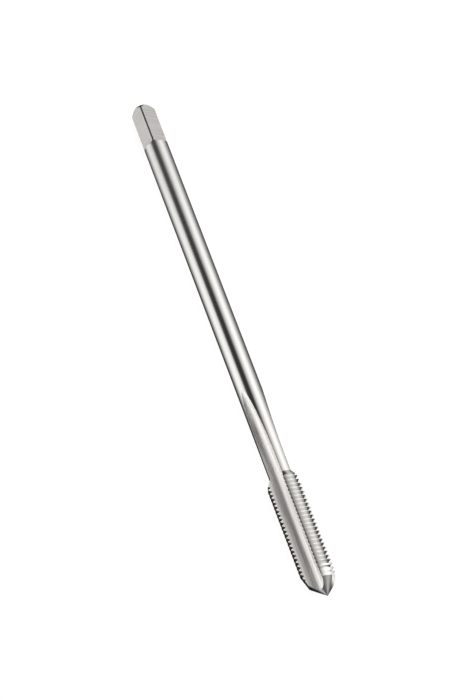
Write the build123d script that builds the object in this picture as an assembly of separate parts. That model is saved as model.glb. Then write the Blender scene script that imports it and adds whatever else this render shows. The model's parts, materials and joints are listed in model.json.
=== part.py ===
from build123d import *
import os
from math import acos, cos, degrees, radians, sin, sqrt, tan

# Long-shank hand and machine tap for metric threads, lying on two of its three lands.
# The axis runs along X with the point at +X. Angles about the axis are given in degrees
# from straight up (+Z) towards +Y. All lengths are millimetres.

# Shank and driving square
OVERALL_LENGTH = 165.9
SHANK_D = 7.0
SQUARE_ACROSS_FLATS = 5.25
SQUARE_LENGTH = 13.5
SQUARE_RUNOUT_R = 0.95
SQUARE_CLOCK = 17.6
END_CHAMFER_LENGTH = 1.3
END_FACE_D = 5.05

# Thread
MAJOR_D = 10.0
PITCH = 1.25
FLANK_ANGLE = 60.0
THREADED_LENGTH = 36.85
REAR_BEVEL_LENGTH = 2.4
TIP_TO_FIRST_GROOVE = 6.07

# Lead chamfer and male point
LEAD_START = 7.55
POINT_BASE_D = 7.9
POINT_ANGLE = 90.0

# Straight flutes
FLUTES = 3
FLUTE_CLOCK = 60.0
FLUTE_OPENING = 71.4
HOOK_ANGLE = 16.0
CORE_D = 3.5
FLUTE_BOTTOM_R = 2.5
FLUTE_HEEL_R = 5.2
FLUTE_FULL_LENGTH = 39.3
FLUTE_WHEEL_R = 180.0

# Room that a cutter keeps beyond the metal that it leaves
CUTTER_CLEARANCE = 1.0

shank_r = SHANK_D / 2
major_r = MAJOR_D / 2
core_r = CORE_D / 2
point_r = POINT_BASE_D / 2

# Truncated V thread: crest and root flats are an eighth of the pitch
crest_flat = PITCH / 8
root_flat = PITCH / 8
flank_tan = tan(radians(FLANK_ANGLE / 2))
thread_depth = (PITCH - crest_flat - root_flat) / (2 * flank_tan)
root_r = major_r - thread_depth

# Stations along the axis, measured from the driving end
thread_start = OVERALL_LENGTH - THREADED_LENGTH
lead_start = OVERALL_LENGTH - LEAD_START
point_start = OVERALL_LENGTH - point_r / tan(radians(POINT_ANGLE / 2))
flute_full = OVERALL_LENGTH - FLUTE_FULL_LENGTH

# The tap rests on the cutting edge and the heel of the two lands beside the lowest flute
land_angle = 360 / FLUTES - FLUTE_OPENING
axis_height = major_r * cos(radians(FLUTE_OPENING / 2))


def on_circle(radius, angle):
    """Point at a radius, at an angle from the second axis towards the first."""
    return Vector(radius * sin(radians(angle)), radius * cos(radians(angle)))


def outer_crossing(point, direction, radius):
    """Where a line from a point meets a circle about the origin, ahead of the point."""
    along = point.dot(direction)
    return point + direction * (sqrt(along**2 - point.dot(point) + radius**2) - along)


def circle_crossing(center_a, radius_a, center_b, radius_b):
    """The crossing of two circles that lies to the left of the way from a to b."""
    gap = center_b - center_a
    along = (radius_a**2 - radius_b**2 + gap.length**2) / (2 * gap.length)
    ahead = gap.normalized()
    left = Vector(-ahead.Y, ahead.X)
    return center_a + ahead * along + left * sqrt(radius_a**2 - along**2)


def arc_about(center, start, end):
    """Arc of less than half a turn about a center."""
    radius = (start - center).length
    middle = center + ((start - center) + (end - center)).normalized() * radius
    return ThreePointArc(start, middle, end)


def turned_blank():
    """Everything that is round: end chamfer, shank, rear bevel, thread body, lead and point."""
    outline = Polyline(
        (0, 0),
        (0, END_FACE_D / 2),
        (END_CHAMFER_LENGTH, shank_r),
        (thread_start, shank_r),
        (thread_start + REAR_BEVEL_LENGTH, major_r),
        (lead_start, major_r),
        (point_start, point_r),
        (OVERALL_LENGTH, 0),
        close=True,
    )
    return revolve(make_face(outline), Axis.X)


def square_flat_cutter():
    """What the mill takes off for the flat that faces up, with its rounded run-out."""
    flat = SQUARE_ACROSS_FLATS / 2
    runout_end = SQUARE_LENGTH + SQUARE_RUNOUT_R
    top = shank_r + CUTTER_CLEARANCE
    side = Curve() + [
        Line((-CUTTER_CLEARANCE, flat), (SQUARE_LENGTH, flat)),
        RadiusArc((SQUARE_LENGTH, flat), (runout_end, flat + SQUARE_RUNOUT_R), -SQUARE_RUNOUT_R),
        Polyline(
            (runout_end, flat + SQUARE_RUNOUT_R),
            (runout_end, top),
            (-CUTTER_CLEARANCE, top),
            (-CUTTER_CLEARANCE, flat),
        ),
    ]
    return extrude(Plane.XZ * make_face(side), shank_r + CUTTER_CLEARANCE, both=True)


def flute_section():
    """Section of the upward flute: hooked cutting face, rounded bottom and curved heel."""
    rim = major_r + CUTTER_CLEARANCE
    cutting_edge = on_circle(major_r, FLUTE_OPENING / 2)
    heel_edge = on_circle(major_r, -FLUTE_OPENING / 2)
    face_outward = on_circle(1, FLUTE_OPENING / 2 - HOOK_ANGLE)
    into_flute = Vector(-face_outward.Y, face_outward.X)

    # The bottom arc touches the cutting face and the core circle
    bottom_start = cutting_edge + into_flute * FLUTE_BOTTOM_R
    bottom_center = outer_crossing(bottom_start, face_outward, core_r + FLUTE_BOTTOM_R)
    heel_center = circle_crossing(
        heel_edge, FLUTE_HEEL_R, bottom_center, FLUTE_HEEL_R - FLUTE_BOTTOM_R
    )
    face_foot = bottom_center - into_flute * FLUTE_BOTTOM_R
    bottom_end = bottom_center + (bottom_center - heel_center).normalized() * FLUTE_BOTTOM_R
    face_rim = outer_crossing(face_foot, face_outward, rim)
    heel_rim = circle_crossing(Vector(0, 0), rim, heel_center, FLUTE_HEEL_R)
    return make_face(
        Curve()
        + [
            Line(face_rim, face_foot),
            arc_about(bottom_center, face_foot, bottom_end),
            arc_about(heel_center, bottom_end, heel_rim),
            arc_about(Vector(0, 0), heel_rim, face_rim),
        ]
    )


def flute_cutter():
    """The upward flute: straight along the thread, then lifting out on the wheel's radius."""
    section = Plane.YZ * flute_section()
    straight = extrude(
        Pos(flute_full, 0, 0) * section, OVERALL_LENGTH - flute_full + CUTTER_CLEARANCE
    )
    wheel_axis = Axis((flute_full, 0, core_r + FLUTE_WHEEL_R), (0, 1, 0))
    lift = shank_r - core_r + CUTTER_CLEARANCE
    lift_angle = degrees(acos(1 - lift / FLUTE_WHEEL_R))
    runout = revolve(Pos(flute_full, 0, 0) * section, wheel_axis, lift_angle)
    return straight + runout


def groove_cutter():
    """A short helical length of the V groove that crosses one land, about the Z axis."""
    over = crest_flat / (4 * flank_tan)
    half_root = root_flat / 2
    half_top = half_root + (thread_depth + over) * flank_tan
    section = make_face(
        Polyline(
            (root_r, -half_root),
            (major_r + over, -half_top),
            (major_r + over, half_top),
            (root_r, half_root),
            close=True,
        )
    )
    arc = land_angle + FLUTE_OPENING / 3
    rise = PITCH * arc / 360
    path = Helix(PITCH, rise, root_r)
    groove = sweep(Plane.XZ * section, path=path, is_frenet=True)
    return Pos(0, 0, -rise / 2) * Rot(0, 0, -arc / 2) * groove


def thread_grooves():
    """Right-hand grooves on every land: one cutter, copied by turns of the same screw."""
    groove = Plane(origin=(0, 0, 0), x_dir=(0, 0, 1), z_dir=(1, 0, 0)) * groove_cutter()
    rows = int((THREADED_LENGTH - TIP_TO_FIRST_GROOVE) / PITCH) + 2
    copies = []
    for land in range(FLUTES):
        clock = FLUTE_CLOCK + (land + 0.5) * 360 / FLUTES
        for row in range(rows):
            along = OVERALL_LENGTH - TIP_TO_FIRST_GROOVE + (1 - row - clock / 360) * PITCH
            copies.append(Pos(along, 0, 0) * Rot(-clock, 0, 0) * groove)
    return copies


def thread_tap():
    """The whole tap with its axis on X and its driving end at the origin."""
    tap = turned_blank()
    flat_cutter = square_flat_cutter()
    tap -= [Rot(-SQUARE_CLOCK - 90 * side, 0, 0) * flat_cutter for side in range(4)]
    flute = flute_cutter()
    tap -= [Rot(-FLUTE_CLOCK - 360 / FLUTES * k, 0, 0) * flute for k in range(FLUTES)]
    tap -= thread_grooves()
    return tap


os.makedirs("parts", exist_ok=True)
tap = Pos(-OVERALL_LENGTH / 2, 0, axis_height) * thread_tap()
export_step(tap, "parts/thread_tap.step")
print("thread_tap volume", round(tap.volume, 1), "mm3, box", tap.bounding_box())
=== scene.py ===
# %% [markdown]
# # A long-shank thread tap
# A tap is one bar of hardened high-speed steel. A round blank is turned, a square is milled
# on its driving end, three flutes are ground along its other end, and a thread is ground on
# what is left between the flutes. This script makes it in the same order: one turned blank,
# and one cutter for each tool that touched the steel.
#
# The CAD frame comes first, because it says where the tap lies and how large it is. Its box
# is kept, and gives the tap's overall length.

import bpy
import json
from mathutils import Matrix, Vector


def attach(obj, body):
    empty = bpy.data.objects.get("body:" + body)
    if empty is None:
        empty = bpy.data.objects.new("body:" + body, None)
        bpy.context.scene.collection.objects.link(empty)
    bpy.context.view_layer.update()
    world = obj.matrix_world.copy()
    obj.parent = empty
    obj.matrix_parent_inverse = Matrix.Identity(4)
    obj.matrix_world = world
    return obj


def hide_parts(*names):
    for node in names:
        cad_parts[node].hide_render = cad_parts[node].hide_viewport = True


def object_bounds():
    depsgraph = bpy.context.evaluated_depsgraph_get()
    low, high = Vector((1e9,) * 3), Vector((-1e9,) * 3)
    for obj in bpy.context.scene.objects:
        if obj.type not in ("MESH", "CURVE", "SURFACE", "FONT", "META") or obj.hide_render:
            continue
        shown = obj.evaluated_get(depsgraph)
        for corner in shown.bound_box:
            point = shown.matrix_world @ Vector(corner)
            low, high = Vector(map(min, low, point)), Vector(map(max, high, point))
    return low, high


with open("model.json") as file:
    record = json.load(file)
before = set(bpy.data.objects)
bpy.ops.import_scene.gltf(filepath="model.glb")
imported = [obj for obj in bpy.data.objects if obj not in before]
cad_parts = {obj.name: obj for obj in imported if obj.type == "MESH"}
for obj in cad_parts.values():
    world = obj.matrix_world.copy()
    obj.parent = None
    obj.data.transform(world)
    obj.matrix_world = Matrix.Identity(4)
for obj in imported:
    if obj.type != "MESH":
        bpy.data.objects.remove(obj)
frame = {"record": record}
cad_low, cad_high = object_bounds()
print("CAD box in mm", [round(side * 1000, 2) for side in cad_high - cad_low])

# %% Tools of the script
import json
from math import acos, atan2, cos, pi, radians, sin, sqrt, tan

import bmesh
import bpy
from mathutils import Quaternion, Vector

# %% [markdown]
# ## The bar
# The tap's sizes are in millimetres, as on a toolmaker's drawing, and each stands at the step
# that first needs it. The steel is modelled at one unit to the millimetre, because several of
# Blender's tolerances are too coarse for a groove that is measured in metres. The finished
# mesh is brought to metres in the last modelling step.
#
# The overall length and the shank's radius are read from the frame. The axis lies on X, the
# point is at +X, and the middle of the tap is the origin. Angles about the axis are in
# degrees from straight up towards +Y.

# %% Length and shank
MM = 0.001
mounts = {mount["name"]: mount for mount in frame["record"]["mounts"]}
shank_r = mounts["shank"]["dims"]["r_mm"]
overall_length = (cad_high.x - cad_low.x) / MM
tail_x = -overall_length / 2
tip_x = overall_length / 2
print("tap", round(overall_length, 2), "mm long, shank radius", shank_r, "mm")

# %% [markdown]
# ## Small helpers
# Blender's operators act on whatever is selected, and the CAD node is still selected after
# loading. So every piece starts from a clean slate: object mode, and nothing selected. Its
# place, turn and scale go into its mesh, so that the object itself stays at the origin.

# %% Helpers for modelling
def clean_slate():
    """Goes back to object mode with nothing selected."""
    if bpy.context.mode != "OBJECT":
        bpy.ops.object.mode_set(mode="OBJECT")
    bpy.ops.object.select_all(action="DESELECT")


def make_active(piece):
    """Selects one piece and nothing else, so that the next operator acts on it alone."""
    clean_slate()
    piece.select_set(True)
    bpy.context.view_layer.objects.active = piece


def place_in_mesh(piece):
    """Moves the object's place, turn and scale into its mesh."""
    make_active(piece)
    bpy.ops.object.transform_apply(location=True, rotation=True, scale=True)
    return piece


def new_piece(name):
    """Names the primitive that was just added and puts its place into its mesh."""
    piece = bpy.context.object
    piece.name = name
    piece.data.name = name
    return place_in_mesh(piece)


def point_outwards(piece):
    """Makes every face of a closed piece point outwards."""
    make_active(piece)
    bpy.ops.object.mode_set(mode="EDIT")
    bpy.ops.mesh.select_all(action="SELECT")
    bpy.ops.mesh.normals_make_consistent(inside=False)
    bpy.ops.object.mode_set(mode="OBJECT")


# %% [markdown]
# ## What the steel looks like
# The whole tap is one steel, but each tool leaves its own surface, and that is what the eye
# reads. The cylindrical grinder leaves the shank almost a mirror, with hair lines that run
# round it. The flutes are ground lengthwise and are a little satin. The milled square is dull
# and grey. Each is its own material, and each cutter below carries the material of the
# surface that it leaves, so that the boolean hands it on to the faces it makes.
#
# Colours are written as sRGB hex values, as in any paint program. Shaders work in linear
# light, so one function converts them. Another adds a node, sets it up and links it.

# %% Colour and node helpers
def linear(hex_colour):
    """An sRGB hex colour as the linear colour that shaders work in."""
    channels = [int(hex_colour[i : i + 2], 16) / 255 for i in (1, 3, 5)]
    return [c / 12.92 if c <= 0.04045 else ((c + 0.055) / 1.055) ** 2.4 for c in channels] + [1.0]


def add_node(tree, kind, inputs=None, **settings):
    """Adds a node, sets its properties, and fills or links its inputs by name or number."""
    node = tree.nodes.new(kind)
    for name, value in settings.items():
        setattr(node, name, value)
    for name, value in (inputs or {}).items():
        if isinstance(value, bpy.types.NodeSocket):
            tree.links.new(value, node.inputs[name])
        else:
            node.inputs[name].default_value = value
    return node


# %% [markdown]
# ## Ground and milled lines
# A steel is metallic 1 with a light warm grey, and it keeps the default IOR. Its finish is a
# grain of fine lines, which could be a picture of real lines wrapped round the tap. Noise that
# is stretched along the way the tool moved does the same without a seam, and has a real size.
# It changes the roughness, the grey, and the height of the surface by up to a tenth of a
# micrometre. Real lines are a few thousandths of a millimetre apart, far too fine to show, so
# these are drawn wider.
#
# Lines also scatter light much more across than along them, so the material is anisotropic,
# and a tangent tells it which way they run. The shank's grinding is duller at the driving end
# than at the flutes, so a roughness may change along the axis.

# %% How strong the lines are
# Noise stays between these values nearly everywhere
NOISE_LOW = 0.3
NOISE_HIGH = 0.7

# How many times as long as wide a line is
LINE_LENGTH = 40

# The share by which roughness swings, and the height of the lines
LINE_CONTRAST = 0.15
LINE_HEIGHT = 0.0001

LINE_ANISOTROPY = 0.8

# A roughness that changes along the axis does so between these two places
DULL_UP_TO = -60.0
BRIGHT_FROM = 15.0


# %% Pattern of lines
def line_pattern(tree, place, line_width, lines_along):
    """Noise stretched into lines that run "round" the axis, or along its "length"."""
    across = 1 / (line_width * MM)
    along = across / LINE_LENGTH
    scale = (across, along, along) if lines_along == "round" else (along, across, across)
    stretch = add_node(tree, "ShaderNodeMapping", {"Vector": place, "Scale": scale})
    noise = add_node(
        tree,
        "ShaderNodeTexNoise",
        {"Vector": stretch.outputs["Vector"], "Scale": 1.0, "Detail": 3.0},
    )
    return noise.outputs["Fac"]


# %% Steel
def steel(name, colour, roughness, line_width, lines_along, tone, tail_roughness=None):
    """Bare tool steel with lines of a given width, direction and strength of grey.

    Where no roughness is given for the tail, the finish is the same from end to end.
    """
    material = bpy.data.materials.new(name)
    material.use_nodes = True
    tree = material.node_tree
    shader = tree.nodes["Principled BSDF"]
    shader.inputs["Metallic"].default_value = 1.0
    shader.inputs["Anisotropic"].default_value = LINE_ANISOTROPY

    # Light scatters most along the tangent: round the axis, or a quarter turn from that
    shader.inputs["Anisotropic Rotation"].default_value = 0.25 if lines_along == "round" else 0.0
    tangent = add_node(tree, "ShaderNodeTangent", direction_type="RADIAL", axis="X")

    # Roughness: a swing from line to line, times the finish at this place along the axis
    place = add_node(tree, "ShaderNodeTexCoord").outputs["Object"]
    lines = line_pattern(tree, place, line_width, lines_along)
    swing = add_node(
        tree,
        "ShaderNodeMapRange",
        {
            "Value": lines,
            "From Min": NOISE_LOW,
            "From Max": NOISE_HIGH,
            "To Min": 1 - LINE_CONTRAST,
            "To Max": 1 + LINE_CONTRAST,
        },
    )
    axis_place = add_node(tree, "ShaderNodeSeparateXYZ", {"Vector": place})
    finish = add_node(
        tree,
        "ShaderNodeMapRange",
        {
            "Value": axis_place.outputs["X"],
            "From Min": DULL_UP_TO * MM,
            "From Max": BRIGHT_FROM * MM,
            "To Min": tail_roughness or roughness,
            "To Max": roughness,
        },
    )
    rough = add_node(
        tree,
        "ShaderNodeMath",
        {0: swing.outputs["Result"], 1: finish.outputs["Result"]},
        operation="MULTIPLY",
    )

    # Grey and height both follow the lines
    shade = add_node(tree, "ShaderNodeValToRGB", {"Fac": lines})
    dark, light = shade.color_ramp.elements
    for stop, position, level in ((dark, NOISE_LOW, 1 - tone), (light, NOISE_HIGH, 1 + tone)):
        stop.position = position
        stop.color = [channel * level for channel in linear(colour)[:3]] + [1.0]

    bump = add_node(
        tree,
        "ShaderNodeBump",
        {"Height": lines, "Strength": 1.0, "Distance": LINE_HEIGHT * MM},
    )
    tree.links.new(shade.outputs["Color"], shader.inputs["Base Color"])
    tree.links.new(rough.outputs["Value"], shader.inputs["Roughness"])
    tree.links.new(tangent.outputs["Tangent"], shader.inputs["Tangent"])
    tree.links.new(bump.outputs["Normal"], shader.inputs["Normal"])
    return material


# %% [markdown]
# ## The six finishes
# The shank, the lead chamfer and the point are cylindrically ground: bright, with faint lines
# round the axis. The thread is ground finer still and mirrors most sharply. The flutes have
# the strongest lines, along the tap, and the milled flats are the dullest, with coarse lines
# that cross them.

# %% Finishes
ground_shank = steel("ground_shank", "#e7e6e4", 0.16, 0.25, "round", 0.02, tail_roughness=0.34)
milled_flat = steel("milled_flat", "#dedcda", 0.42, 0.35, "round", 0.11)
ground_flute = steel("ground_flute", "#f8f5f2", 0.35, 0.5, "length", 0.20)
ground_thread = steel("ground_thread", "#e4e3e1", 0.11, 0.2, "round", 0.03)
ground_lead = steel("ground_lead", "#f0efed", 0.16, 0.2, "round", 0.03)
ground_point = steel("ground_point", "#dedddc", 0.16, 0.2, "round", 0.04)
for finish in (ground_shank, milled_flat, ground_flute, ground_thread, ground_lead, ground_point):
    print(finish.name, "is made of", len(finish.node_tree.nodes), "nodes")

# %% [markdown]
# ## The turned blank
# The blank could be one cylinder with others joined to it, but then every shoulder would be a
# seam. A turner makes it in one pass instead, and so does this script: one round face is
# extruded from station to station along the axis, and scaled to the radius it has there. At
# the point its last ring is merged into one vertex.

# %% Stations of the blank
END_FACE_R = 2.525
END_CHAMFER_LENGTH = 1.3
SQUARE_LENGTH = 13.5
SQUARE_RUNOUT_R = 0.95
MAJOR_R = 5.0
THREADED_LENGTH = 36.85
REAR_BEVEL_LENGTH = 2.4
FLUTE_FULL_LENGTH = 39.3
LEAD_LENGTH = 7.55
POINT_R = 3.95
POINT_ANGLE = 90.0

# A last ring this far short of the point keeps the shading of the cone straight
POINT_RING = 0.03

thread_x = tip_x - THREADED_LENGTH
flute_full_x = tip_x - FLUTE_FULL_LENGTH
point_slope = tan(radians(POINT_ANGLE / 2))
point_x = tip_x - POINT_R / point_slope

# Each stretch of the blank: where it ends, its radius there, and its finish. The plain shank
# has two rings more than its shape needs, so that its faces stay shorter.
stretches = [
    (tail_x + END_CHAMFER_LENGTH, shank_r, ground_shank),
    (tail_x + SQUARE_LENGTH + 2 * SQUARE_RUNOUT_R, shank_r, ground_shank),
    (flute_full_x - FLUTE_FULL_LENGTH / 2, shank_r, ground_shank),
    (thread_x, shank_r, ground_shank),
    (thread_x + REAR_BEVEL_LENGTH, MAJOR_R, ground_shank),
    (tip_x - LEAD_LENGTH, MAJOR_R, ground_thread),
    (point_x, POINT_R, ground_lead),
    (tip_x - POINT_RING, POINT_RING * point_slope, ground_point),
]
print("stations at", [round(end, 2) for end, _, _ in stretches])

# %% Turn the blank
ROUND_STEPS = 192

clean_slate()
bpy.ops.mesh.primitive_circle_add(
    vertices=ROUND_STEPS,
    radius=END_FACE_R,
    fill_type="NGON",
    location=(tail_x, 0, 0),
    rotation=(0, pi / 2, 0),
)
tap = new_piece("thread_tap_steel")
bpy.ops.object.mode_set(mode="EDIT")
bpy.ops.mesh.select_all(action="SELECT")
station, radius = tail_x, END_FACE_R
for end, end_radius, _ in stretches:
    bpy.ops.mesh.extrude_region_move(TRANSFORM_OT_translate={"value": (end - station, 0, 0)})
    swell = end_radius / radius
    bpy.ops.transform.resize(value=(1, swell, swell), center_override=(end, 0, 0))
    station, radius = end, end_radius
bpy.ops.mesh.extrude_region_move(TRANSFORM_OT_translate={"value": (tip_x - station, 0, 0)})
bpy.ops.mesh.merge(type="CENTER")
point_outwards(tap)
print("blank", len(tap.data.vertices), "vertices from", round(tail_x, 2), "to", round(tip_x, 2))

# %% [markdown]
# The finishes are given out by place: a face belongs to the first stretch that ends beyond
# its centre. Whatever is left is the point.

# %% Finish the blank
finishes = [ground_shank, ground_thread, ground_lead, ground_point]
for finish in finishes:
    tap.data.materials.append(finish)
for face in tap.data.polygons:
    finish = next((item[2] for item in stretches if face.center.x < item[0]), ground_point)
    face.material_index = finishes.index(finish)
print("blank finished in", len(finishes), "ways")

# %% [markdown]
# ## Cutting
# A boolean difference does what a cutter does. Its exact solver leaves clean edges where two
# surfaces cross, and with the material mode set to transfer, the new faces keep the finish
# that the cutter carries. A cutter that works several times is modelled once, for the top of
# the tap, and each cut is made with a copy of it that is turned about the axis.

# %% Cut with a cutter
# Room that a cutter keeps beyond the steel that it leaves, and a length that counts as none
CLEARANCE = 1.0
NEARLY_ZERO = 0.001


def cut(cutter):
    """Takes the cutter's shape off the tap, then throws the cutter away."""
    make_active(tap)
    bpy.ops.object.modifier_add(type="BOOLEAN")
    boolean = tap.modifiers[-1]
    boolean.operation = "DIFFERENCE"
    boolean.solver = "EXACT"
    boolean.material_mode = "TRANSFER"
    boolean.object = cutter
    bpy.ops.object.modifier_apply(modifier=boolean.name)
    bpy.data.objects.remove(cutter)


def turned_copy(piece, angle):
    """A copy with its own mesh, turned about the tap's axis from up towards +Y."""
    copy = piece.copy()
    copy.data = piece.data.copy()
    bpy.context.collection.objects.link(copy)
    copy.rotation_euler.x = -radians(angle)
    return place_in_mesh(copy)


# %% [markdown]
# ## The driving square
# Four flats are milled across the shank's end, for a wrench. The mill has a rounded corner,
# so each flat ends in a small radius that climbs back to the shank. The cutter is a box, and
# its one edge that makes this corner is bevelled to that radius.

# %% Shape the cutter of a flat
SQUARE_ACROSS_FLATS = 5.25
RUNOUT_STEPS = 12

flat_height = SQUARE_ACROSS_FLATS / 2
cutter_top = shank_r + CLEARANCE
cutter_tail = tail_x - CLEARANCE
cutter_front = tail_x + SQUARE_LENGTH + SQUARE_RUNOUT_R

clean_slate()
bpy.ops.mesh.primitive_cube_add(
    size=1,
    location=((cutter_tail + cutter_front) / 2, 0, (flat_height + cutter_top) / 2),
    scale=(cutter_front - cutter_tail, 2 * cutter_top, cutter_top - flat_height),
)
flat_cutter = new_piece("flat_cutter")
flat_cutter.data.materials.append(milled_flat)
bpy.ops.object.mode_set(mode="EDIT")
bpy.ops.mesh.select_mode(type="EDGE")
bpy.ops.mesh.select_all(action="DESELECT")

# The edge where the bottom of the box meets its front
box_mesh = bmesh.from_edit_mesh(flat_cutter.data)
for edge in box_mesh.edges:
    middle = (edge.verts[0].co + edge.verts[1].co) / 2
    if (middle - Vector((cutter_front, 0, flat_height))).length < NEARLY_ZERO:
        edge.select_set(True)
bmesh.update_edit_mesh(flat_cutter.data)
bpy.ops.mesh.bevel(offset=SQUARE_RUNOUT_R, segments=RUNOUT_STEPS, affect="EDGES")
clean_slate()
print("cutter of a flat", len(flat_cutter.data.polygons), "faces")

# %% Mill the square
SQUARE_CLOCK = 17.6

for side in range(4):
    cut(turned_copy(flat_cutter, SQUARE_CLOCK + 90 * side))
bpy.data.objects.remove(flat_cutter)
print("with its square the tap has", len(tap.data.polygons), "faces")

# %% [markdown]
# ## The flutes
# A flute carries the chips away, and its edge does the cutting. Its section is a straight
# cutting face that leans back by the hook angle, a round bottom, and a wider arc up to the
# heel of the next land. The bottom arc touches the cutting face and the core of the tap, and
# the heel arc touches the bottom arc.
#
# The centres of these arcs could be found by trial. They follow from lines and circles that
# cross, so a few lines of geometry give them exactly, as with ruler and compass.

# %% Ruler and compass
def on_circle(radius, angle):
    """A point of the section, at an angle from up towards +Y."""
    return Vector((0, radius * sin(radians(angle)), radius * cos(radians(angle))))


def outer_crossing(point, direction, radius):
    """Where a line from a point leaves a circle about the axis."""
    along = point.dot(direction)
    return point + direction * (sqrt(along**2 - point.dot(point) + radius**2) - along)


def circle_crossing(center_a, radius_a, center_b, radius_b):
    """The crossing of two circles on the left of the way from a to b, as seen from the point."""
    gap = center_b - center_a
    along = (radius_a**2 - radius_b**2 + gap.dot(gap)) / (2 * gap.length)
    ahead = gap.normalized()
    left = Vector((0, -ahead.z, ahead.y))
    return center_a + ahead * along + left * sqrt(radius_a**2 - along**2)


def turn_between(center, start, end):
    """The angle from start to end about a center, positive from +Y towards +Z."""
    a = start - center
    b = end - center
    return atan2(a.y * b.z - a.z * b.y, a.y * b.y + a.z * b.z)


# %% Lay out the flute's section
FLUTE_OPENING = 71.4
HOOK_ANGLE = 16.0
CORE_R = 1.75
FLUTE_BOTTOM_R = 2.5
FLUTE_HEEL_R = 5.2

axis_point = Vector((0, 0, 0))
rim = MAJOR_R + CLEARANCE
cutting_edge = on_circle(MAJOR_R, FLUTE_OPENING / 2)
heel_edge = on_circle(MAJOR_R, -FLUTE_OPENING / 2)
face_outward = on_circle(1, FLUTE_OPENING / 2 - HOOK_ANGLE)
into_flute = Vector((0, -face_outward.z, face_outward.y))
bottom_center = outer_crossing(
    cutting_edge + into_flute * FLUTE_BOTTOM_R, face_outward, CORE_R + FLUTE_BOTTOM_R
)
heel_center = circle_crossing(
    heel_edge, FLUTE_HEEL_R, bottom_center, FLUTE_HEEL_R - FLUTE_BOTTOM_R
)
face_foot = bottom_center - into_flute * FLUTE_BOTTOM_R
bottom_end = bottom_center + (bottom_center - heel_center).normalized() * FLUTE_BOTTOM_R
face_rim = outer_crossing(face_foot, face_outward, rim)
heel_rim = circle_crossing(axis_point, rim, heel_center, FLUTE_HEEL_R)
print("flute bottom centre", [round(c, 3) for c in bottom_center])

# %% [markdown]
# The section is drawn as a draughtsman draws it: one vertex is pulled out into the line of
# the cutting face, and then spun about one arc centre after the other. The last arc closes it
# outside the steel.

# %% Draw the flute's section
ARC_STEPS = 20

at_full = Vector((flute_full_x, 0, 0))
clean_slate()
bpy.ops.mesh.primitive_plane_add(size=1, location=at_full + face_rim)
flute_cutter = new_piece("flute_cutter")
flute_cutter.data.materials.append(ground_flute)
bpy.ops.object.mode_set(mode="EDIT")
bpy.ops.mesh.select_mode(type="VERT")
bpy.ops.mesh.select_all(action="SELECT")
bpy.ops.mesh.merge(type="CENTER")
bpy.ops.mesh.extrude_region_move(TRANSFORM_OT_translate={"value": face_foot - face_rim})
for center, start, end in (
    (bottom_center, face_foot, bottom_end),
    (heel_center, bottom_end, heel_rim),
    (axis_point, heel_rim, face_rim),
):
    bpy.ops.mesh.spin(
        steps=ARC_STEPS,
        angle=-turn_between(center, start, end),
        center=at_full + center,
        axis=(1, 0, 0),
    )
    reached = next(v.co for v in bmesh.from_edit_mesh(flute_cutter.data).verts if v.select)
    print("arc misses its end by", round((reached - at_full - end).length, 5), "mm")
bpy.ops.mesh.select_all(action="SELECT")
bpy.ops.mesh.remove_doubles(threshold=NEARLY_ZERO)
bpy.ops.mesh.edge_face_add()

# %% [markdown]
# The grinding wheel runs straight along the threaded part, and lifts out of the steel at the
# end of its travel. So the section is extruded past the point, and its first face is then
# spun back and up about the wheel's own axis. Where this leaves the round shank, the flute
# runs out in a long lance shape.

# %% Follow the grinding wheel
FLUTE_WHEEL_R = 180.0
WHEEL_STEPS = 40

bpy.ops.mesh.extrude_region_move(
    TRANSFORM_OT_translate={"value": (tip_x + CLEARANCE - flute_full_x, 0, 0)}
)
bpy.ops.mesh.select_mode(type="FACE")
bpy.ops.mesh.select_all(action="DESELECT")

# The face where the straight cutter begins
cutter_mesh = bmesh.from_edit_mesh(flute_cutter.data)
for face in cutter_mesh.faces:
    face.select_set(face.calc_center_median().x < flute_full_x + NEARLY_ZERO)
cutter_mesh.select_flush_mode()
bmesh.update_edit_mesh(flute_cutter.data)
lift_angle = acos(1 - (shank_r - CORE_R + CLEARANCE) / FLUTE_WHEEL_R)
bpy.ops.mesh.spin(
    steps=WHEEL_STEPS,
    angle=-lift_angle,
    center=at_full + Vector((0, 0, CORE_R + FLUTE_WHEEL_R)),
    axis=(0, 1, 0),
)
point_outwards(flute_cutter)
print("flute cutter reaches x from", round(min(v.co.x for v in flute_cutter.data.vertices), 2))

# %% Grind the flutes
FLUTES = 3
FLUTE_CLOCK = 60.0

for flute in range(FLUTES):
    cut(turned_copy(flute_cutter, FLUTE_CLOCK + flute * 360 / FLUTES))
bpy.data.objects.remove(flute_cutter)
print("with its flutes the tap has", len(tap.data.polygons), "faces")

# %% [markdown]
# ## The thread
# The thread is one long V groove, wound round the lands from the first cut near the point to
# the end of the threaded part. Its crest and its root are flats of an eighth of the pitch.
# Rings set side by side would look much the same, but they would not be a screw. So one
# section of the groove is drawn, and a screw modifier winds it about the axis.

# %% Sizes of the groove
PITCH = 1.25
FLANK_ANGLE = 60.0
TIP_TO_FIRST_GROOVE = 4.82

flank_slope = tan(radians(FLANK_ANGLE / 2))
root_flat = PITCH / 8
crest_flat = PITCH / 8
thread_depth = (PITCH - root_flat - crest_flat) / (2 * flank_slope)
root_r = MAJOR_R - thread_depth

# The cutter reaches past the steel, but less than would make its turns touch one another
over = crest_flat / (4 * flank_slope)
groove_height = thread_depth + over
groove_top = root_flat + 2 * groove_height * flank_slope
turns = int((THREADED_LENGTH - TIP_TO_FIRST_GROOVE) / PITCH) + 2

# The winding starts and ends in the middle of the first flute, where it cuts nothing
first_x = tip_x - TIP_TO_FIRST_GROOVE + PITCH * (1 - FLUTE_CLOCK / 360)
last_x = first_x - turns * PITCH
print("thread depth", round(thread_depth, 3), "mm,", turns, "turns")

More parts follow.
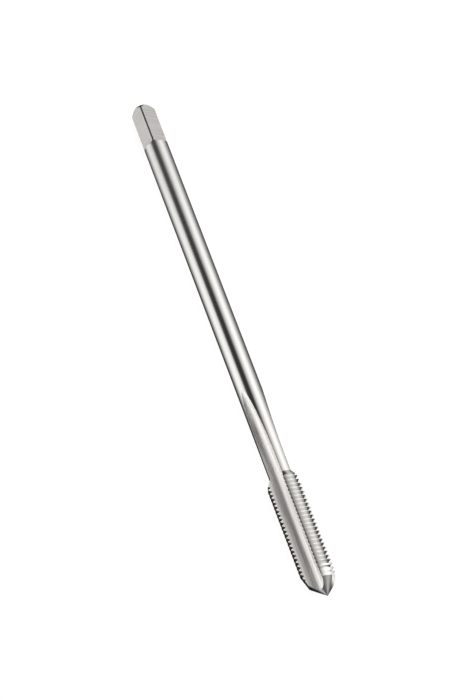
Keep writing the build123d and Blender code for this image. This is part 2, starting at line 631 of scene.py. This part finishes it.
# %% Draw the groove's section
clean_slate()
bpy.ops.mesh.primitive_plane_add(
    size=1,
    location=(last_x, 0, root_r + groove_height / 2),
    rotation=(pi / 2, 0, 0),
)
groove_cutter = bpy.context.object
groove_cutter.scale = (groove_top, groove_height, 1)
groove_cutter = new_piece("groove_cutter")
groove_cutter.data.materials.append(ground_thread)
bpy.ops.object.mode_set(mode="EDIT")
bpy.ops.mesh.select_mode(type="VERT")
bpy.ops.mesh.select_all(action="DESELECT")

# The two lower corners are drawn together to the width of the root
section = bmesh.from_edit_mesh(groove_cutter.data)
for corner in section.verts:
    corner.select_set(corner.co.z < root_r + groove_height / 2)
bmesh.update_edit_mesh(groove_cutter.data)
bpy.ops.transform.resize(
    value=(root_flat / groove_top, 1, 1), center_override=(last_x, 0, root_r)
)
clean_slate()
groove_cutter.rotation_euler.x = -radians(FLUTE_CLOCK)
place_in_mesh(groove_cutter)
print("groove", round(groove_top, 3), "mm wide at its top,", round(root_flat, 3), "at its root")

# %% Wind and grind the thread
bpy.ops.object.modifier_add(type="SCREW")
winding = groove_cutter.modifiers[-1]
winding.axis = "X"
winding.angle = 2 * pi
winding.screw_offset = PITCH
winding.iterations = turns
winding.steps = ROUND_STEPS
winding.render_steps = ROUND_STEPS
winding.use_smooth_shade = False
bpy.ops.object.modifier_apply(modifier=winding.name)

# Close both ends of the groove
bpy.ops.object.mode_set(mode="EDIT")
bpy.ops.mesh.select_all(action="SELECT")
bpy.ops.mesh.remove_doubles(threshold=NEARLY_ZERO)
bpy.ops.mesh.select_all(action="SELECT")
bpy.ops.mesh.fill_holes(sides=4)
point_outwards(groove_cutter)
print("groove cutter has", len(groove_cutter.data.polygons), "faces")
cut(groove_cutter)
print("with its thread the tap has", len(tap.data.polygons), "faces")

# %% [markdown]
# Where cuts cross, the boolean leaves doubles that lie up to 0.0001 mm apart. Vertices that
# belong apart have more than 0.0003 mm between them, so the doubles are welded with a limit
# between the two, and every run of the script welds the same ones. This happens while the
# mesh is still in millimetres, because Blender welds over no less than 0.000001 units.

# %% Weld the doubles
WELD = 0.0002

make_active(tap)
bpy.ops.object.mode_set(mode="EDIT")
bpy.ops.mesh.select_all(action="SELECT")
bpy.ops.mesh.remove_doubles(threshold=WELD)
bpy.ops.mesh.select_all(action="SELECT")
bpy.ops.mesh.delete_loose()
clean_slate()
print("welded, the tap has", len(tap.data.vertices), "vertices")

# %% [markdown]
# ## Lift it to where it lies, and shade it
# A tap with three flutes comes to rest on the two edges beside its lowest flute, and half of
# that flute's opening sets the height of its axis. The mesh is scaled to metres and lifted
# there. Smooth shading by angle keeps each round surface round and each edge sharp: the
# flattest real edge is the one where the lead chamfer begins, at about 16 degrees.

# %% Bring the steel to its place
SHARP_FROM = 11.0

axis_height = MAJOR_R * cos(radians(FLUTE_OPENING / 2))
tap.scale = (MM, MM, MM)
tap.location.z = axis_height * MM
place_in_mesh(tap)
bpy.ops.object.shade_smooth_by_angle(angle=radians(SHARP_FROM))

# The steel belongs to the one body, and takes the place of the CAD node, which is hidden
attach(tap, "root")
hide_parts("thread_tap")
print("axis at", round(axis_height, 3), "mm")
print("triangles", sum(len(face.vertices) - 2 for face in tap.data.polygons))

# %% [markdown]
# ## The floor
# The tap lies on a light table: a sheet of opal glass, lit from below. A paper floor would
# show a shadow under the tap. The table's own light fills almost all of it, as in a catalogue
# picture. The sheet is large enough to fill the picture from any side, and the steel doesn't
# mirror it, because the tent below gives all that the steel shows.

# %% Floor
# The width in metres
FLOOR_SIZE = 6.0
OPAL_ROUGHNESS = 0.9
TABLE_GLOW = 0.93

clean_slate()
bpy.ops.mesh.primitive_plane_add(size=FLOOR_SIZE)
floor = bpy.context.object
floor.name = "floor"
opal = bpy.data.materials.new("opal_glass")
opal.use_nodes = True
opal_shader = opal.node_tree.nodes["Principled BSDF"]
opal_shader.inputs["Base Color"].default_value = linear("#6a6a6a")
opal_shader.inputs["Roughness"].default_value = OPAL_ROUGHNESS
opal_shader.inputs["Emission Color"].default_value = linear("#ffffff")
opal_shader.inputs["Emission Strength"].default_value = TABLE_GLOW
floor.data.materials.append(opal)
floor.visible_glossy = False
print("floor", FLOOR_SIZE, "m wide")

# %% [markdown]
# ## The light tent
# Polished steel has hardly a look of its own: it shows what stands round it. Such a tool is
# photographed in a white tent with a dark slot for the camera, which gives the two bright
# bands along the shank and the dark line between them. The tent could be made of lamps and
# cards, but the world itself can be that tent, with no edges and no noise.
#
# Two numbers say where on the tent a reflection lands: the angle round the tap's axis, and how
# far the direction leans along the axis, from -1 at the driving end to 1 at the point.

# %% World
tent = bpy.data.worlds.new("light_tent")
bpy.context.scene.world = tent
tent.use_nodes = True
sky = tent.node_tree
toward = add_node(sky, "ShaderNodeTexCoord")
parts = add_node(sky, "ShaderNodeSeparateXYZ", {"Vector": toward.outputs["Generated"]})
around = add_node(
    sky,
    "ShaderNodeMath",
    {0: parts.outputs["Y"], 1: parts.outputs["Z"]},
    operation="ARCTAN2",
)
turned = add_node(
    sky,
    "ShaderNodeMapRange",
    {"Value": around.outputs["Value"], "From Min": -pi, "From Max": pi},
)

# %% [markdown]
# The tent is built of five rings, one behind the other along the axis. Each ring is white
# cloth that is brighter in some places than in others, given as stops: the angle in degrees
# from up towards +Y, and the brightness there. The shank, the square and the lead chamfer
# mostly mirror the ring beside the tap, and so does the plain part of the lands. The flanks
# of the thread mirror the ring that hangs over it. The chamfer at the driving end and the
# bevel behind the thread mirror the ring behind, and the point mirrors the two in front.

# %% Rings of the tent
RINGS = {
    "behind": [
        (-180, 0.17), (-90, 0.28), (60, 0.64), (100, 0.86), (125, 0.40), (150, 0.18), (180, 0.17),
    ],
    "beside": [
        (-180, 0.05), (-168, 0.09), (-150, 0.36), (-135, 0.70), (-120, 1.05), (-100, 1.24),
        (-80, 1.17), (-63, 0.98), (-54, 0.32), (-46, 0.09), (-26, 0.09), (-16, 0.20),
        (-4, 0.79), (20, 1.21), (42, 1.28), (60, 1.04), (80, 0.70), (98, 0.34),
        (120, 0.19), (165, 0.09), (180, 0.05),
    ],
    "over the thread": [
        (-180, 0.05), (-168, 0.09), (-150, 0.36), (-135, 0.72), (-120, 1.10), (-100, 1.28),
        (-80, 1.20), (-63, 1.00), (-54, 0.30), (-26, 0.08), (-8, 0.42), (6, 0.86),
        (19, 1.28), (34, 1.30), (45, 1.10), (56, 0.78), (67, 0.40), (80, 0.25),
        (98, 0.18), (120, 0.12), (180, 0.05),
    ],
    "ahead": [
        (-180, 0.04), (-171, 0.10), (-163, 0.26), (-150, 0.48), (-139, 0.68), (-129, 0.86),
        (-117, 0.86), (-106, 0.74), (-90, 0.50), (-60, 0.30), (0, 0.40), (38, 0.74),
        (51, 0.86), (63, 0.72), (74, 0.50), (83, 0.38), (93, 0.30), (101, 0.20),
        (116, 0.07), (128, 0.70), (150, 0.70), (164, 0.10), (180, 0.02),
    ],
    "front": [
        (-180, 0.20), (-106, 0.64), (-93, 0.50), (-77, 0.32), (-58, 0.24), (-37, 0.24),
        (-15, 0.29), (3, 0.34), (22, 0.44), (38, 0.66), (51, 0.78), (61, 0.44),
        (69, 0.72), (76, 1.20), (85, 1.20), (90, 0.78), (95, 0.40), (100, 0.14),
        (112, 0.10), (128, 0.80), (150, 0.80), (180, 0.20),
    ],
}

ring_light = {}
for ring, stops in RINGS.items():
    ramp = add_node(sky, "ShaderNodeValToRGB", {"Fac": turned.outputs["Result"]}, label=ring)
    elements = ramp.color_ramp.elements
    for angle, _ in stops[1:-1]:
        elements.new((angle + 180) / 360)
    for element, (angle, brightness) in zip(elements, stops):
        element.position = (angle + 180) / 360
        element.color = (brightness, brightness, brightness, 1)
    ring_light[ring] = ramp.outputs["Color"]
print("rings of the tent", list(ring_light))

# %% [markdown]
# The rings are joined from the driving end to the point. Each joint is a soft seam: from the
# first to the second place along the axis, the light passes over from one ring to the next.
# The far ends of the tent are nearly dark.

# %% Join the rings
FAR_BEHIND = 0.07
FAR_AHEAD = 0.14

brightness = FAR_BEHIND
for start, end, next_brightness in (
    (-0.98, -0.93, ring_light["behind"]),
    (-0.86, -0.72, ring_light["beside"]),
    (-0.47, -0.41, ring_light["over the thread"]),
    (-0.22, -0.14, ring_light["beside"]),
    (0.10, 0.60, ring_light["ahead"]),
    (0.72, 0.84, ring_light["front"]),
    (0.965, 0.99, FAR_AHEAD),
):
    seam = add_node(
        sky,
        "ShaderNodeMapRange",
        {
            "Value": parts.outputs["X"],
            "From Min": start,
            "From Max": end,
            "To Min": brightness,
            "To Max": next_brightness,
        },
    )
    brightness = seam.outputs["Result"]
background = sky.nodes["Background"]
sky.links.new(brightness, background.inputs["Color"])
background.inputs["Strength"].default_value = 1.0
print("tent has", len(sky.nodes), "nodes")

# %% [markdown]
# ## The lamp over the floor
# One large soft lamp adds a little light from above, so that the floor keeps the faintest
# trace of a shadow. It isn't mirrored in the steel either.

# %% Lamp
# Metres and watts
LAMP_SIZE = 3.0
LAMP_HEIGHT = 2.0
LAMP_POWER = 10.0

clean_slate()
bpy.ops.object.light_add(type="AREA", location=(0, 0, LAMP_HEIGHT))
lamp = bpy.context.object
lamp.name = "floor_lamp"
lamp.data.size = LAMP_SIZE
lamp.data.energy = LAMP_POWER
lamp.visible_glossy = False
print("lamp", LAMP_POWER, "W")

# %% [markdown]
# ## The camera
# The photograph was taken from above, along the tap, from 0.7 m away with a long lens. The
# camera stands at that angle and is rolled about its line of sight. A catalogue print has
# deeper greys than the eye sees, so the picture's gamma is set below 1.

# %% Camera
# Degrees and millimetres
CAMERA_AZIMUTH = 53.199
CAMERA_ELEVATION = 50.088
CAMERA_ROLL = 23.357
CAMERA_DISTANCE = 702.55
CAMERA_LENS = 132.28
CAMERA_AIM = Vector((4.06, 0.03, 4.17))
NEAREST_SEEN = 10.0
PICTURE_GAMMA = 0.7

azimuth = radians(CAMERA_AZIMUTH)
elevation = radians(CAMERA_ELEVATION)
away = Vector((sin(azimuth) * cos(elevation), -cos(azimuth) * cos(elevation), sin(elevation)))
clean_slate()
bpy.ops.object.camera_add(location=(CAMERA_AIM + away * CAMERA_DISTANCE) * MM)
camera = bpy.context.object
camera.data.lens = CAMERA_LENS
camera.data.clip_start = NEAREST_SEEN * MM
camera.rotation_mode = "QUATERNION"
level = (-away).to_track_quat("-Z", "Y")
camera.rotation_quaternion = level @ Quaternion((0, 0, 1), radians(CAMERA_ROLL))
bpy.context.scene.camera = camera
bpy.context.scene.view_settings.view_transform = "Standard"
bpy.context.scene.view_settings.gamma = PICTURE_GAMMA
print("camera at", [round(c, 3) for c in camera.location], "m")
